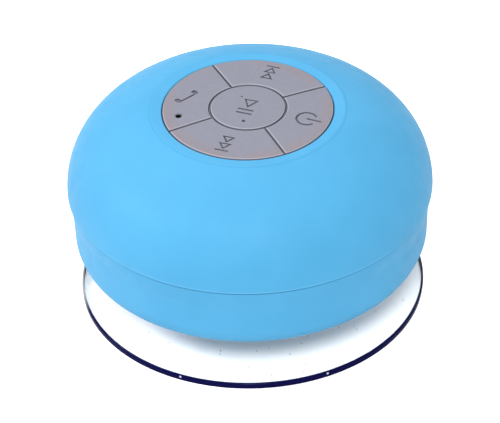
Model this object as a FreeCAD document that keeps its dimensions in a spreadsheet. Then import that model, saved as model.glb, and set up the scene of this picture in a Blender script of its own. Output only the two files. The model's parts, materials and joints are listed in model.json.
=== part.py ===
import FreeCAD, Part
import math
import os
import re

import Sketcher

# A round water-resistant speaker with a suction cup, in millimetres.
# The origin is the centre of the suction cup's lip. +Z runs along the axis and out through the
# keypad, and +Y points from the centre towards the power key. The charging port faces -Y.

Vector = FreeCAD.Vector
doc = FreeCAD.newDocument("ShowerSpeaker")
sheet = doc.addObject("Spreadsheet::Sheet", "Sizes")

SIZES = {
    # Outer form: a drum, a concave kink, a flare, a parting line, then a dome of two tangent arcs.
    "body_rad": 43.0,
    "split_high": 29.5,
    "split_gap": 0.3,
    "shoulder_rad": 18.1,
    "shoulder_turn": 54.4,
    "crown_rad": 36.5,
    "crest_rad": 22.9,
    "crest_span": 0.6,
    "crest_high": 50.12,
    "crest_round": 1.4,
    "opening_rad": 20.0,
    "opening_high": 50.0,
    "opening_round": 0.35,
    "rim_rad": 42.72,
    "flare_rad": 26.0,
    "flare_low": 25.8,
    "flare_low_rad": 42.25,
    "kink_rad": 12.5,
    "drum_rad": 41.98,
    "drum_high": 23.4,
    "drum_foot_rad": 41.8,
    "base_high": 12.0,
    "base_round": 5.2,
    # Housing walls.
    "wall_thick": 2.0,
    "ceiling_high": 48.0,
    "floor_high": 14.0,
    "skirt_rad": 40.4,
    "skirt_thick": 0.8,
    "skirt_low": 27.0,
    "seal_rad": 41.0,
    "seal_wide": 0.8,
    "seal_tall": 0.7,
    "fit_gap": 0.05,
    # Screws and posts that join the two housings.
    "post_ring": 33.5,
    "post_rad": 3.6,
    "post_high": 24.0,
    "post_bore": 1.6,
    "head_bore": 2.9,
    "head_high": 15.0,
    "pilot_rad": 1.5,
    "pilot_deep": 10.0,
    # Suction cup and the hub that snaps into the base.
    "cup_rad": 41.1,
    "cup_edge": 1.5,
    "cup_round": 0.5,
    "cup_top": 6.8,
    "cup_neck_rad": 8.4,
    "cup_lip": 1.3,
    "cup_hollow": 3.2,
    "cup_back_rad": 330.0,
    "hub_rad": 4.0,
    "hub_low": 4.4,
    "hub_flange_rad": 7.6,
    "hub_flange_top": 7.6,
    "hub_neck_rad": 5.0,
    "hub_head_rad": 6.6,
    "hub_head_low": 9.6,
    "hub_head_top": 11.6,
    "socket_rad": 10.0,
    "socket_low": 7.9,
    "socket_mouth": 5.1,
    "socket_bore": 6.9,
    "socket_step": 9.5,
    # Sound slots and the driver.
    "slot_in": 10.8,
    "slot_out": 16.2,
    "slot_wide": 1.5,
    "slot_count": 22,
    "mesh_rad": 17.0,
    "mesh_thick": 0.3,
    "baffle_in": 17.2,
    "baffle_out": 21.0,
    "baffle_high": 15.5,
    "driver_rad": 20.5,
    "driver_screw_ring": 22.3,
    "flange_low": 16.3,
    "flange_thick": 0.8,
    "cone_rad": 14.6,
    "cone_thick": 0.35,
    "coil_rad": 7.0,
    "neck_high": 20.9,
    "plate_low": 25.0,
    "plate_thick": 2.0,
    "magnet_rad": 16.0,
    "magnet_thick": 5.0,
    "pole_rad": 6.5,
    # Keypad.
    "key_low": 48.6,
    "key_crown": 50.6,
    "crown_sweep": 430.0,
    "key_rad": 19.8,
    "key_round": 0.4,
    "ring_rad": 8.9,
    "groove_half": 0.22,
    "rib_half": 0.12,
    "rib_drop": 0.55,
    "key_at": 14.0,
    "stem_rad": 1.2,
    "stem_hole": 1.6,
    "mark_wide": 0.5,
    "mark_deep": 0.35,
    "mat_low": 47.2,
    "mat_rad": 22.3,
    "mic_x": 8.1,
    "mic_y": 14.1,
    "mic_hole": 0.65,
    "mic_rim": 0.25,
    "led_x": 5.6,
    "led_y": 1.0,
    # Boards, switches and battery.
    "board_low": 43.2,
    "board_thick": 1.2,
    "board_rad": 28.5,
    "board_screw_ring": 26.0,
    "switch_side": 4.0,
    "switch_tall": 1.6,
    "plunger_rad": 0.9,
    "plunger_top": 46.7,
    "plunger_tall": 1.0,
    "battery_long": 35.0,
    "battery_wide": 20.0,
    "battery_tall": 5.5,
    "battery_low": 34.8,
    "plug_tall": 2.8,
    "wire_rad": 0.45,
    # Charging port at -Y, with its rubber plug on a vertical pivot.
    "port_high": 18.5,
    "recess_half": 7.4,
    "recess_end": 9.5,
    "recess_tall": 5.6,
    "recess_y": 40.3,
    "block_half": 10.5,
    "block_y": 38.3,
    "usb_wide": 7.5,
    "usb_tall": 2.6,
    "usb_long": 5.4,
    "charge_board_low": 16.0,
    "charge_board_thick": 1.2,
    "pivot_x": 8.0,
    "pivot_y": 39.9,
    "pivot_rad": 0.6,
    "knuckle_rad": 0.85,
}
for row, (name, number) in enumerate(SIZES.items(), start=1):
    sheet.set(f"A{row}", name)
    sheet.set(f"B{row}", str(number))
    sheet.setAlias(f"B{row}", name)
doc.recompute()

# The crown arc's centre, which makes the crown tangent to the shoulder arc.
CROWN_X = "(body_rad - shoulder_rad + (shoulder_rad - crown_rad) * cos(shoulder_turn))"
CROWN_Z = "(split_high + (shoulder_rad - crown_rad) * sin(shoulder_turn))"
BOARD_TOP = "(board_low + board_thick)"
FLANGE_TOP = "(flange_low + flange_thick)"
CHARGE_TOP = "(charge_board_low + charge_board_thick)"
DIAGONAL = "cos(45)"


# ---- helpers -----------------------------------------------------------------------------------

def bound(formula):
    """A formula in which every size name points into the sheet."""
    return re.sub(r"[a-z]+(?:_[a-z]+)+", lambda found: "Sizes." + found.group(0), str(formula))


def value(formula):
    """The formula's present value, in plain numbers."""
    result = sheet.evalExpression(bound(formula))
    return float(getattr(result, "Value", result))


def new_body(label):
    body = doc.addObject("PartDesign::Body", label)
    body.Label = label
    body.AllowCompound = True
    return body


def plane_sketch(body, role, offset):
    """A sketch on one of the body's own origin planes, moved along the plane's normal."""
    sketch = body.newObject("Sketcher::SketchObject", body.Label + "_sketch")
    plane = [item for item in body.Origin.OriginFeatures if item.Role == role][0]
    sketch.AttachmentSupport = [(plane, "")]
    sketch.MapMode = "FlatFace"
    sketch.setExpression("AttachmentOffset.Base.z", bound(offset))
    return sketch


def arc_between(start, finish, radius, side):
    """The minor arc from start to finish that turns left (side 1) or right (side -1)."""
    chord = finish - start
    rise = (radius ** 2 - (chord.Length / 2) ** 2) ** 0.5
    normal = Vector(-chord.y, chord.x, 0).normalize()
    centre = (start + finish) * 0.5 + normal * rise * side
    first, last = (start, finish) if side > 0 else (finish, start)
    circle = Part.Circle(centre, Vector(0, 0, 1), radius)
    return Part.ArcOfCircle(circle, circle.parameter(first), circle.parameter(last))


def fix_point(sketch, item, end, x, y):
    for kind, formula in (("DistanceX", x), ("DistanceY", y)):
        rule = Sketcher.Constraint(kind, -1, 1, item, end, value(formula))
        number = sketch.addConstraint(rule)
        sketch.setExpression(f"Constraints[{number}]", bound(formula))


def outline(sketch, corners, arcs=None):
    """A closed loop through the corners. arcs maps an edge's number to (radius, side)."""
    arcs = arcs or {}
    points = [Vector(value(x), value(y), 0) for x, y in corners]
    starts = []
    for number, start in enumerate(points):
        finish = points[(number + 1) % len(points)]
        if number in arcs:
            radius, side = arcs[number]
            item = sketch.addGeometry(arc_between(start, finish, value(radius), side), False)
            starts.append((item, 1, 2) if side > 0 else (item, 2, 1))
        else:
            item = sketch.addGeometry(Part.LineSegment(start, finish), False)
            starts.append((item, 1, 2))
    for number, (item, head, tail) in enumerate(starts):
        following = starts[(number + 1) % len(starts)]
        sketch.addConstraint(Sketcher.Constraint("Coincident", item, tail, following[0], following[1]))
        fix_point(sketch, item, head, *corners[number])
        if number in arcs:
            rule = Sketcher.Constraint("Radius", item, value(arcs[number][0]))
            index = sketch.addConstraint(rule)
            sketch.setExpression(f"Constraints[{index}]", bound(arcs[number][0]))


def disc(sketch, x, y, radius):
    """A full circle at (x, y)."""
    circle = Part.Circle(Vector(value(x), value(y), 0), Vector(0, 0, 1), value(radius))
    item = sketch.addGeometry(circle, False)
    fix_point(sketch, item, 3, x, y)
    index = sketch.addConstraint(Sketcher.Constraint("Radius", item, value(radius)))
    sketch.setExpression(f"Constraints[{index}]", bound(radius))


def diagonal_disc(sketch, ring, radius):
    """A full circle on the diagonal between +X and +Y, at a distance from the axis."""
    disc(sketch, f"{ring} * {DIAGONAL}", f"{ring} * {DIAGONAL}", radius)


def rectangle(sketch, left, right, low, high):
    outline(sketch, [(left, low), (right, low), (right, high), (left, high)])


def turned(body, corners, arcs=None, kind="PartDesign::Revolution"):
    """Turns a section in the XZ plane about the Z axis: a Revolution adds, a Groove cuts."""
    sketch = plane_sketch(body, "XZ_Plane", "0")
    outline(sketch, corners, arcs)
    feature = body.newObject(kind, body.Label + "_turned")
    feature.Profile = sketch
    feature.ReferenceAxis = (sketch, ["V_Axis"])
    feature.Angle = 360
    return feature


def padded(body, draw, low, tall):
    """Pads what draw(sketch) draws, upwards from the height low."""
    sketch = plane_sketch(body, "XY_Plane", low)
    draw(sketch)
    feature = body.newObject("PartDesign::Pad", body.Label + "_pad")
    feature.Profile = sketch
    feature.setExpression("Length", bound(tall))
    return feature


def cut(body, draw, top, deep, role="XY_Plane"):
    """Pockets what draw(sketch) draws, along the plane's negative normal from the offset top."""
    doc.recompute()
    before = body.Shape.Volume
    sketch = plane_sketch(body, role, top)
    draw(sketch)
    feature = body.newObject("PartDesign::Pocket", body.Label + "_cut")
    feature.Profile = sketch
    feature.setExpression("Length", bound(deep))
    doc.recompute()
    if body.Shape.Volume >= before - 1e-6:
        raise ValueError(f"a pocket in {body.Label} cuts nothing")
    return feature


def around(body, features, count):
    """Repeats features in equal turns about the Z axis."""
    doc.recompute()
    axis = [item for item in body.Origin.OriginFeatures if item.Role == "Z_Axis"][0]
    pattern = body.newObject("PartDesign::PolarPattern", body.Label + "_around")
    pattern.Originals = features
    pattern.Axis = (axis, [""])
    pattern.Angle = 360
    pattern.setExpression("Occurrences", bound(count))
    body.Tip = pattern
    return pattern


def softened(body, radius, choose):
    """Fillets the edges that choose(edge) picks."""
    doc.recompute()
    base = body.Tip
    names = [f"Edge{n}" for n, edge in enumerate(base.Shape.Edges, start=1) if choose(edge)]
    feature = body.newObject("PartDesign::Fillet", body.Label + "_fillet")
    feature.Base = (base, names)
    feature.setExpression("Radius", bound(radius))
    doc.recompute()
    return feature


def block(label, x, y, low, long, wide, tall):
    """A box centred at (x, y), standing on the height low."""
    box = doc.addObject("Part::Box", label)
    box.Label = label
    box.setExpression("Length", bound(long))
    box.setExpression("Width", bound(wide))
    box.setExpression("Height", bound(tall))
    box.setExpression("Placement.Base.x", bound(f"{x} - ({long}) / 2"))
    box.setExpression("Placement.Base.y", bound(f"{y} - ({wide}) / 2"))
    box.setExpression("Placement.Base.z", bound(low))
    return box


def ring(label, inner, outer, low, tall):
    """A flat ring about the axis."""
    body = new_body(label)
    padded(body, lambda s: (disc(s, "0", "0", outer), disc(s, "0", "0", inner)), low, tall)
    return body


def rod(label, x, y, radius, low, tall):
    """A plain upright cylinder."""
    cylinder = doc.addObject("Part::Cylinder", label)
    cylinder.Label = label
    cylinder.setExpression("Radius", bound(radius))
    cylinder.setExpression("Height", bound(tall))
    cylinder.setExpression("Placement.Base.x", bound(x))
    cylinder.setExpression("Placement.Base.y", bound(y))
    cylinder.setExpression("Placement.Base.z", bound(low))
    return cylinder


def turn_about_z(item, degrees):
    item.Placement = FreeCAD.Placement(item.Placement.Base, FreeCAD.Rotation(Vector(0, 0, 1), degrees))


# ---- housing -----------------------------------------------------------------------------------

def dome(inset):
    """Points of the dome, inset from its outer face: parting line and shoulder-crown joint."""
    start = (f"body_rad - {inset}", "split_high")
    joint = (
        f"body_rad - shoulder_rad + (shoulder_rad - {inset}) * cos(shoulder_turn)",
        f"split_high + (shoulder_rad - {inset}) * sin(shoulder_turn)",
    )
    return start, joint


def crown_at(radius, inset="0"):
    """Height of the crown arc at a radius."""
    return f"({CROWN_Z} + sqrt((crown_rad - {inset})^2 - ({radius} - {CROWN_X})^2))"


def upper_housing():
    body = new_body("upper_housing")
    posts = padded(body, lambda s: diagonal_disc(s, "post_ring", "post_rad - 0.4"), "post_high", "22")
    bosses = padded(body, lambda s: diagonal_disc(s, "board_screw_ring", "2.2"), BOARD_TOP, "5")
    around(body, [posts, bosses], "4")
    # The posts end inside the dome's wall: everything beyond the wall's middle is turned away.
    middle = "wall_thick / 2"
    start, joint = dome(middle)
    top = ("opening_rad", crown_at("opening_rad", middle))
    turned(
        body,
        [start, joint, top, ("opening_rad", "60"), ("60", "60"), ("60", "split_high")],
        {0: (f"shoulder_rad - {middle}", 1), 1: (f"crown_rad - {middle}", 1)},
        "PartDesign::Groove",
    )
    start, joint = dome("0")
    inner_joint = dome("wall_thick")[1]
    shelf = "split_high + 1.6"
    shelf_rad = "body_rad - shoulder_rad + sqrt((shoulder_rad - wall_thick)^2 - 1.6^2)"
    ceiling_rad = f"{CROWN_X} + sqrt((crown_rad - wall_thick)^2 - (ceiling_high - {CROWN_Z})^2)"
    turned(
        body,
        [
            start,
            joint,
            ("crest_rad", crown_at("crest_rad")),
            ("crest_rad - crest_span", "crest_high"),
            ("opening_rad + opening_round", "opening_high"),
            ("opening_rad", "opening_high - opening_round"),
            ("opening_rad", "ceiling_high"),
            (ceiling_rad, "ceiling_high"),
            inner_joint,
            (shelf_rad, shelf),
            ("skirt_rad - skirt_thick", shelf),
            ("skirt_rad - skirt_thick", "skirt_low"),
            ("skirt_rad", "skirt_low"),
            ("skirt_rad", "split_high"),
            ("seal_rad", "split_high"),
            ("seal_rad", "split_high + seal_tall"),
            ("seal_rad + seal_wide", "split_high + seal_tall"),
            ("seal_rad + seal_wide", "split_high"),
        ],
        {
            0: ("shoulder_rad", 1),
            1: ("crown_rad", 1),
            2: ("crest_round", 1),
            4: ("opening_round * 1.1", 1),
            7: ("crown_rad - wall_thick", -1),
            8: ("shoulder_rad - wall_thick", -1),
        },
    )
    pilot = cut(body, lambda s: diagonal_disc(s, "post_ring", "pilot_rad"),
                "post_high + pilot_deep", "pilot_deep")
    small = cut(body, lambda s: diagonal_disc(s, "board_screw_ring", "0.95"),
                f"{BOARD_TOP} + 2.2", "2.2")
    around(body, [pilot, small], "4")
    return body


def drum_side(inset):
    """Points of the drum's outer side, inset: foot, start of the side, and the side's top."""
    return [
        ("drum_foot_rad - base_round", f"base_high + {inset}"),
        (f"drum_foot_rad - {inset}", "base_high + base_round"),
        (f"drum_rad - {inset}", "drum_high"),
    ]


def outside_drum(body, inset):
    """Turns away everything outside the drum's side, inset."""
    turned(
        body,
        drum_side(inset) + [("60", "drum_high"), ("60", f"base_high + {inset}")],
        {0: (f"base_round * 1.01 - {inset}", 1)},
        "PartDesign::Groove",
    )


def lower_housing():
    body = new_body("lower_housing")
    inner = "drum_rad - wall_thick"
    # The block that backs the port, from its flat inner face to the middle of the drum's wall.
    sketch = plane_sketch(body, "XZ_Plane", "block_y")
    rectangle(sketch, "-block_half", "block_half", "floor_high - 0.5", "drum_high - 0.2")
    pad = body.newObject("PartDesign::Pad", "port_block")
    pad.Profile = sketch
    pad.setExpression("Length", bound("drum_rad - block_y"))
    outside_drum(body, "1")
    turned(
        body,
        [
            ("0", "base_high"),
            *drum_side("0"),
            ("flare_low_rad", "flare_low"),
            ("rim_rad", "split_high - split_gap"),
            ("skirt_rad + 1.8", "split_high - split_gap"),
            ("skirt_rad + 1.8", "split_high"),
            ("skirt_rad + 0.25", "split_high"),
            ("skirt_rad + 0.25", "skirt_low - 0.5"),
            (inner, "drum_high + 1"),
            (inner, "floor_high + 2.4"),
            (f"{inner} - 2.4", "floor_high"),
            ("baffle_out", "floor_high"),
            ("baffle_out", "baffle_high"),
            ("baffle_in", "baffle_high"),
            ("baffle_in", "floor_high"),
            ("0", "floor_high"),
        ],
        {1: ("base_round * 1.01", 1), 3: ("kink_rad", -1), 4: ("flare_rad", 1), 11: ("2.5", -1)},
    )
    posts = padded(body, lambda s: diagonal_disc(s, "post_ring", "post_rad"),
                   "base_high + 0.5", "post_high - base_high - 0.5")
    bosses = padded(body, lambda s: diagonal_disc(s, "driver_screw_ring", "1.7"),
                    "base_high + 0.5", f"{FLANGE_TOP} - base_high - 0.5")
    around(body, [posts, bosses], "4")
    padded(body, lambda s: (disc(s, "5.5", "-30.5", "1.8"), disc(s, "-5.5", "-30.5", "1.8")),
           "base_high + 0.5", "charge_board_low - base_high - 0.5")
    hole = cut(body, lambda s: diagonal_disc(s, "post_ring", "post_bore"),
               "post_high", "post_high - base_high + 1")
    head = cut(body, lambda s: diagonal_disc(s, "post_ring", "head_bore"),
               "head_high", "head_high - base_high + 1")
    tap = cut(body, lambda s: diagonal_disc(s, "driver_screw_ring", "0.95"), FLANGE_TOP, "4")
    around(body, [hole, head, tap], "4")
    half = "slot_wide / 2"
    slot = cut(
        body,
        lambda s: outline(
            s,
            [("slot_in", f"-{half}"), ("slot_out", f"-{half}"),
             ("slot_out", half), ("slot_in", half)],
            {1: (f"{half} * 1.04", 1), 3: (f"{half} * 1.04", 1)},
        ),
        "floor_high + 0.1",
        "floor_high - base_high + 1",
    )
    around(body, [slot], "slot_count")
    cut(body, lambda s: (disc(s, "5.5", "-30.5", "0.85"), disc(s, "-5.5", "-30.5", "0.85")),
        "charge_board_low", "2.6")

    # The plug's recess, the port through it, and the pivot's channel and sockets.
    low = "port_high - recess_tall / 2"
    high = "port_high + recess_tall / 2"
    cut(body, lambda s: rectangle(s, "-recess_half", "recess_end", low, high),
        "body_rad + 1", "body_rad + 1 - recess_y", "XZ_Plane")
    cut(body, lambda s: rectangle(s, "-4.1", "4.1", "port_high - 1.75", "port_high + 1.75"),
        "recess_y + 0.2", "4", "XZ_Plane")
    cut(body, lambda s: disc(s, "pivot_x", "-pivot_y", "knuckle_rad + 0.1"), high, "recess_tall")
    cut(body, lambda s: disc(s, "pivot_x", "-pivot_y", "pivot_rad + fit_gap"),
        f"{high} + 0.75", "recess_tall + 1.5")
    return body


def housing_seal():
    return ring("housing_seal", "seal_rad + fit_gap", "seal_rad + seal_wide - fit_gap",
                "split_high", "seal_tall - fit_gap")


def housing_screws():
    """Four pan-head screws driven up through the lower housing's posts."""
    body = new_body("housing_screws")
    head = padded(body, lambda s: disc(s, "post_ring", "0", "head_bore - 0.3"), "head_high - 1.9", "1.9")
    shank = padded(body, lambda s: disc(s, "post_ring", "0", "pilot_rad - fit_gap"),
                   "head_high - 0.1", "18")
    # A cross recess in each head.
    bars = cut(body, lambda s: rectangle(s, "post_ring - 1.5", "post_ring + 1.5", "-0.3", "0.3"),
               "head_high - 0.9", "1.2")
    other = cut(body, lambda s: rectangle(s, "post_ring - 0.3", "post_ring + 0.3", "-1.5", "1.5"),
                "head_high - 0.9", "1.2")
    around(body, [head, shank, bars, other], "4")
    turn_about_z(body, 45)
    return body


def hub_socket():
    """The snap ring under the base that the cup's hub clicks into."""
    body = new_body("hub_socket")
    turned(body, [
        ("socket_mouth + 0.4", "socket_low"),
        ("socket_rad - 0.6", "socket_low"),
        ("socket_rad", "socket_low + 0.6"),
        ("socket_rad", "base_high"),
        ("socket_bore", "base_high"),
        ("socket_bore", "socket_step"),
        ("socket_mouth", "socket_step"),
        ("socket_mouth", "socket_low + 0.4"),
    ])
    return body


# ---- suction cup -------------------------------------------------------------------------------

def cap_radius(half_width, rise):
    """Radius of an arc that rises by rise over half_width and crosses the axis square to it."""
    return f"((({half_width})^2 + ({rise})^2) / (2 * ({rise})))"


def suction_cup():
    body = new_body("suction_cup")
    pocket = "hub_rad + fit_gap"
    turned(
        body,
        [
            ("0", "cup_hollow"),
            ("cup_rad - cup_lip", "0"),
            ("cup_rad", "0"),
            ("cup_rad", "cup_edge - cup_round"),
            ("cup_rad - cup_round", "cup_edge"),
            ("cup_neck_rad + 1.2", "cup_top - 1"),
            ("cup_neck_rad", "cup_top"),
            (pocket, "cup_top"),
            (pocket, "hub_low - fit_gap"),
            ("0", "hub_low - fit_gap"),
        ],
        {
            0: (cap_radius("cup_rad - cup_lip", "cup_hollow"), -1),
            3: ("cup_round * 1.05", 1),
            4: ("cup_back_rad", 1),
        },
    )
    return body


def cup_hub():
    """A rigid hub: a stem in the cup's neck, a flange on top of it and a snap head above."""
    body = new_body("cup_hub")
    turned(body, [
        ("0", "hub_low"),
        ("hub_rad", "hub_low"),
        ("hub_rad", "cup_top + fit_gap"),
        ("hub_flange_rad", "cup_top + fit_gap"),
        ("hub_flange_rad", "hub_flange_top"),
        ("hub_neck_rad", "hub_flange_top"),
        ("hub_neck_rad", "hub_head_low"),
        ("hub_head_rad", "hub_head_low"),
        ("hub_head_rad", "hub_head_low + 0.7"),
        ("hub_neck_rad", "hub_head_top"),
        ("0", "hub_head_top"),
    ])
    return body


# ---- driver ------------------------------------------------------------------------------------

def grille_mesh():
    return rod("grille_mesh", "0", "0", "mesh_rad", "floor_high", "mesh_thick")


def speaker_gasket():
    return ring("speaker_gasket", "baffle_in + 0.4", "driver_rad",
                "baffle_high", "flange_low - 0.3 - baffle_high")


def speaker_frame():
    """The pressed basket, with a flange, a sloping wall with four windows and a top plate."""
    body = new_body("speaker_frame")
    turned(body, [
        ("driver_rad - 3.1", "flange_low"),
        ("driver_rad", "flange_low"),
        ("driver_rad", FLANGE_TOP),
        ("driver_rad - 1.5", FLANGE_TOP),
        ("driver_rad - 3.3", "plate_low"),
        ("coil_rad + 1.6", "plate_low"),
        ("coil_rad + 1.6", "plate_low - 0.8"),
        ("12.8", "plate_low - 0.8"),
        ("12.8", "plate_low - 1.8"),
        ("14.5", "plate_low - 1.8"),
        ("14.5", "plate_low - 0.8"),
        ("driver_rad - 4", "plate_low - 0.8"),
        ("driver_rad - 2.3", FLANGE_TOP),
        ("driver_rad - 3.1", FLANGE_TOP),
    ])
    near = "15.2"
    far = "driver_rad"
    slope = "tan(24)"
    window = cut(
        body,
        lambda s: outline(s, [
            (near, f"-{near} * {slope}"), (far, f"-{far} * {slope}"),
            (far, f"{far} * {slope}"), (near, f"{near} * {slope}"),
        ]),
        "plate_low - 1.4",
        "5.6",
    )
    turn = around(body, [window], "4")
    doc.recompute()
    if turn.Shape.Volume >= window.Shape.Volume:
        raise ValueError("the basket's windows aren't repeated")
    return body


def speaker_surround():
    """The rubber half-roll between the basket's flange and the cone."""
    body = new_body("speaker_surround")
    low = "flange_low - 0.3"
    turned(
        body,
        [
            ("cone_rad - 0.8", low),
            ("cone_rad + 0.1", low),
            ("driver_rad - 3.2", low),
            ("driver_rad - 1.7", low),
            ("driver_rad - 1.7", "flange_low"),
            ("driver_rad - 3.2 - 0.3", "flange_low"),
            ("cone_rad + 0.4", "flange_low"),
            ("cone_rad - 0.8", "flange_low"),
        ],
        {1: ("1.7", -1), 5: ("1.3", 1)},
    )
    return body


def speaker_cone():
    body = new_body("speaker_cone")
    turned(body, [
        ("cone_rad - 0.6", "flange_low"),
        ("cone_rad", "flange_low"),
        ("coil_rad + 0.2 + cone_thick", "neck_high"),
        ("coil_rad + 0.2 + cone_thick", "neck_high + 0.6"),
        ("coil_rad + 0.2", "neck_high + 0.6"),
        ("coil_rad + 0.2", "neck_high - 0.35"),
    ])
    return body


def dust_cap():
    """A shallow paper cap that closes the former's lower end."""
    body = new_body("dust_cap")
    arch = cap_radius("coil_rad + 0.15", "1.3")
    turned(
        body,
        [
            ("0", "neck_high - 2"),
            ("coil_rad + 0.15", "neck_high - 0.7"),
            ("coil_rad + 0.15", "neck_high - 0.4"),
            ("0", "neck_high - 1.7"),
        ],
        {0: (arch, 1), 2: (arch, -1)},
    )
    return body


def voice_coil_former():
    return ring("voice_coil_former", "coil_rad", "coil_rad + 0.15", "neck_high - 0.4", "7.1")


def voice_coil():
    return ring("voice_coil", "coil_rad + 0.15", "coil_rad + 0.55", "plate_low - 0.5", "3")


def speaker_spider():
    """The corrugated disc that centres the coil."""
    body = new_body("speaker_spider")
    low = "plate_low - 2.05"
    steps = [f"coil_rad + {0.2 + 1.2 * n:.1f}" for n in range(5)]
    rises = ["0", "-0.5", "0", "-0.5", "0"]
    under = [(x, f"{low} + {rise}") for x, rise in zip(steps, rises)]
    under.append(("14.5", low))
    over = [(x, f"{y} + 0.25") for x, y in reversed(under)]
    turned(body, under + over)
    return body


def speaker_top_plate():
    return ring("speaker_top_plate", "coil_rad + 1", "magnet_rad - 1", "plate_low", "plate_thick")


def speaker_magnet():
    return ring("speaker_magnet", "coil_rad + 2.2", "magnet_rad", "plate_low + plate_thick", "magnet_thick")


def speaker_yoke():
    body = new_body("speaker_yoke")
    low = "plate_low + plate_thick + magnet_thick"
    turned(body, [
        ("0", "plate_low + 0.2"),
        ("pole_rad", "plate_low + 0.2"),
        ("pole_rad", low),
        ("magnet_rad - 0.5", low),
        ("magnet_rad - 0.5", "battery_low - 0.8"),
        ("0", "battery_low - 0.8"),
    ])
    return body


def speaker_terminal():
    return block("speaker_terminal", "driver_rad - 0.7", "0", FLANGE_TOP, "1.2", "7", "3.5")


def speaker_screws():
    """Four small screws whose heads clamp the edge of the driver's flange."""
    body = new_body("speaker_screws")
    head = padded(body, lambda s: disc(s, "driver_screw_ring", "0", "2.2"), FLANGE_TOP, "1.1")
    shank = padded(body, lambda s: disc(s, "driver_screw_ring", "0", "0.9"), f"{FLANGE_TOP} - 3.5", "3.6")
    around(body, [head, shank], "4")
    turn_about_z(body, 45)
    return body


def tinsel_leads():
    """Two short flexible leads from the coil's former to the terminal."""
    def lead(y):
        end = (value("driver_rad - 1.3"), y, 20)
        return pipe([(7, y, 21.75), (9.5, y, 21.75), (12, y, 20.9), (15.2, y, 20), end], 0.2)

    return coded("tinsel_leads", Part.makeCompound([lead(-1.8), lead(1.8)]))


# ---- keypad ------------------------------------------------------------------------------------

def crown_cut(body, drop):
    """Turns away everything above the keypad's crowned face, lowered by drop."""
    edge = "21"
    turned(
        body,
        [
            ("0", "56"),
            ("0", f"key_crown - {drop}"),
            (edge, f"key_crown - {drop} - crown_sweep + sqrt(crown_sweep^2 - {edge}^2)"),
            (edge, "56"),
        ],
        {1: ("crown_sweep", -1)},
        "PartDesign::Groove",
    )


def is_top_edge(edge):
    ends = [vertex.Point.z for vertex in edge.Vertexes]
    flat = abs(ends[0] - ends[-1]) < 0.7
    return min(ends) > value("key_low + 1") and flat


def quadrant(sketch):
    """The outline of one outer key, centred on +X, with half a groove left on each side."""
    near = "ring_rad + groove_half"
    far = "key_rad"
    corners = []
    for radius, side in ((near, -1), (far, -1), (far, 1), (near, 1)):
        along = f"sqrt(({radius})^2 - groove_half^2)"
        across = f"{side} * ({along} - groove_half) * cos(45)"
        corners.append((f"({along} + groove_half) * cos(45)", across))
    outline(sketch, corners, {1: (far, 1), 3: (near, -1)})


def triangle_mark(sketch, base, tip, half):
    """An engraved triangle's outline, as an outer and an inner loop."""
    outline(sketch, [(base, f"-({half})"), (tip, "0"), (base, half)])
    inset = f"({base} + mark_wide * 0.8)"
    reach = f"({tip} - ({base}))"
    inner_tip = f"({tip} - mark_wide * 0.8 * sqrt(1 + ({reach} / {half})^2))"
    inner_half = f"({half} * ({inner_tip} - {inset}) / {reach})"
    outline(sketch, [(inset, f"-{inner_half}"), (inner_tip, "0"), (inset, inner_half)])


def bar_mark(sketch, x, half):
    rectangle(sketch, f"{x} - mark_wide / 2", f"{x} + mark_wide / 2", f"-({half})", half)


def skip_mark(sketch):
    """Two triangles and a bar, pointing outwards."""
    triangle_mark(sketch, "12.2", "14.6", "1.6")
    triangle_mark(sketch, "14.75", "17.1", "1.6")
    bar_mark(sketch, "17.5", "1.6")


def power_mark(sketch):
    """An open ring with a stem through its gap, which faces outwards."""
    centre = "14.4"
    outer = "2.6"
    inner = f"({outer} - mark_wide)"
    gap = "35"
    corners = []
    for radius, order in ((outer, (1, 0, -1)), (inner, (-1, 0, 1))):
        for side in order:
            if side:
                corners.append((f"{centre} + {radius} * cos({gap})", f"{side} * {radius} * sin({gap})"))
            else:
                corners.append((f"{centre} - {radius}", "0"))
    outline(sketch, corners, {0: (outer, 1), 1: (outer, 1), 3: (inner, -1), 4: (inner, -1)})
    rectangle(sketch, centre, f"{centre} + 3.6", "-mark_wide / 2", "mark_wide / 2")


def handset_mark(sketch):
    """A handset that lies across the key: a slim grip with a rounded pad at each end."""
    # The line through the pads' middles; the grip runs beside it, nearer the keypad's centre.
    first = Vector(14.1, -2.0, 0)
    last = Vector(16.6, 2.3, 0)
    along = (last - first).normalize()
    outwards = Vector(along.y, -along.x, 0)
    # One pad's outline, as distances from its middle: outwards from the end, and across.
    pad = [(0.25, -1.2), (0.6, -0.85), (0.6, 0.3), (0.3, 0.55), (-0.3, 0.55), (-0.6, 0.3), (-0.6, -0.7)]
    points = [last + along * far + outwards * aside for far, aside in pad]
    points += [first - along * far + outwards * aside for far, aside in reversed(pad)]
    outline(sketch, [(f"{point.x:.3f}", f"{point.y:.3f}") for point in points])


def play_mark(sketch):
    """A triangle followed by two bars."""
    triangle_mark(sketch, "-2.8", "0.5", "1.8")
    bar_mark(sketch, "1.3", "1.9")
    bar_mark(sketch, "2.7", "1.9")


def engrave(body, draw, radius):
    """Cuts a mark into the crowned face, to one depth at the mark's middle radius."""
    face = f"(key_crown - ({radius})^2 / crown_sweep / 2)"
    cut(body, draw, f"{face} + 1", "1 + mark_deep")


def outer_key(label, turn, draw):
    body = new_body(label)
    padded(body, quadrant, "key_low", "4")
    crown_cut(body, "0")
    softened(body, "key_round", is_top_edge)
    engrave(body, draw, "key_at + 0.5")
    padded(body, lambda s: disc(s, "key_at", "0", "stem_rad"), "plunger_top", "key_low + 0.1 - plunger_top")
    turn_about_z(body, turn)
    return body


def key_next():
    return outer_key("key_next", 0, skip_mark)


def key_power():
    return outer_key("key_power", 90, power_mark)


def key_previous():
    return outer_key("key_previous", 180, skip_mark)


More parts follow.
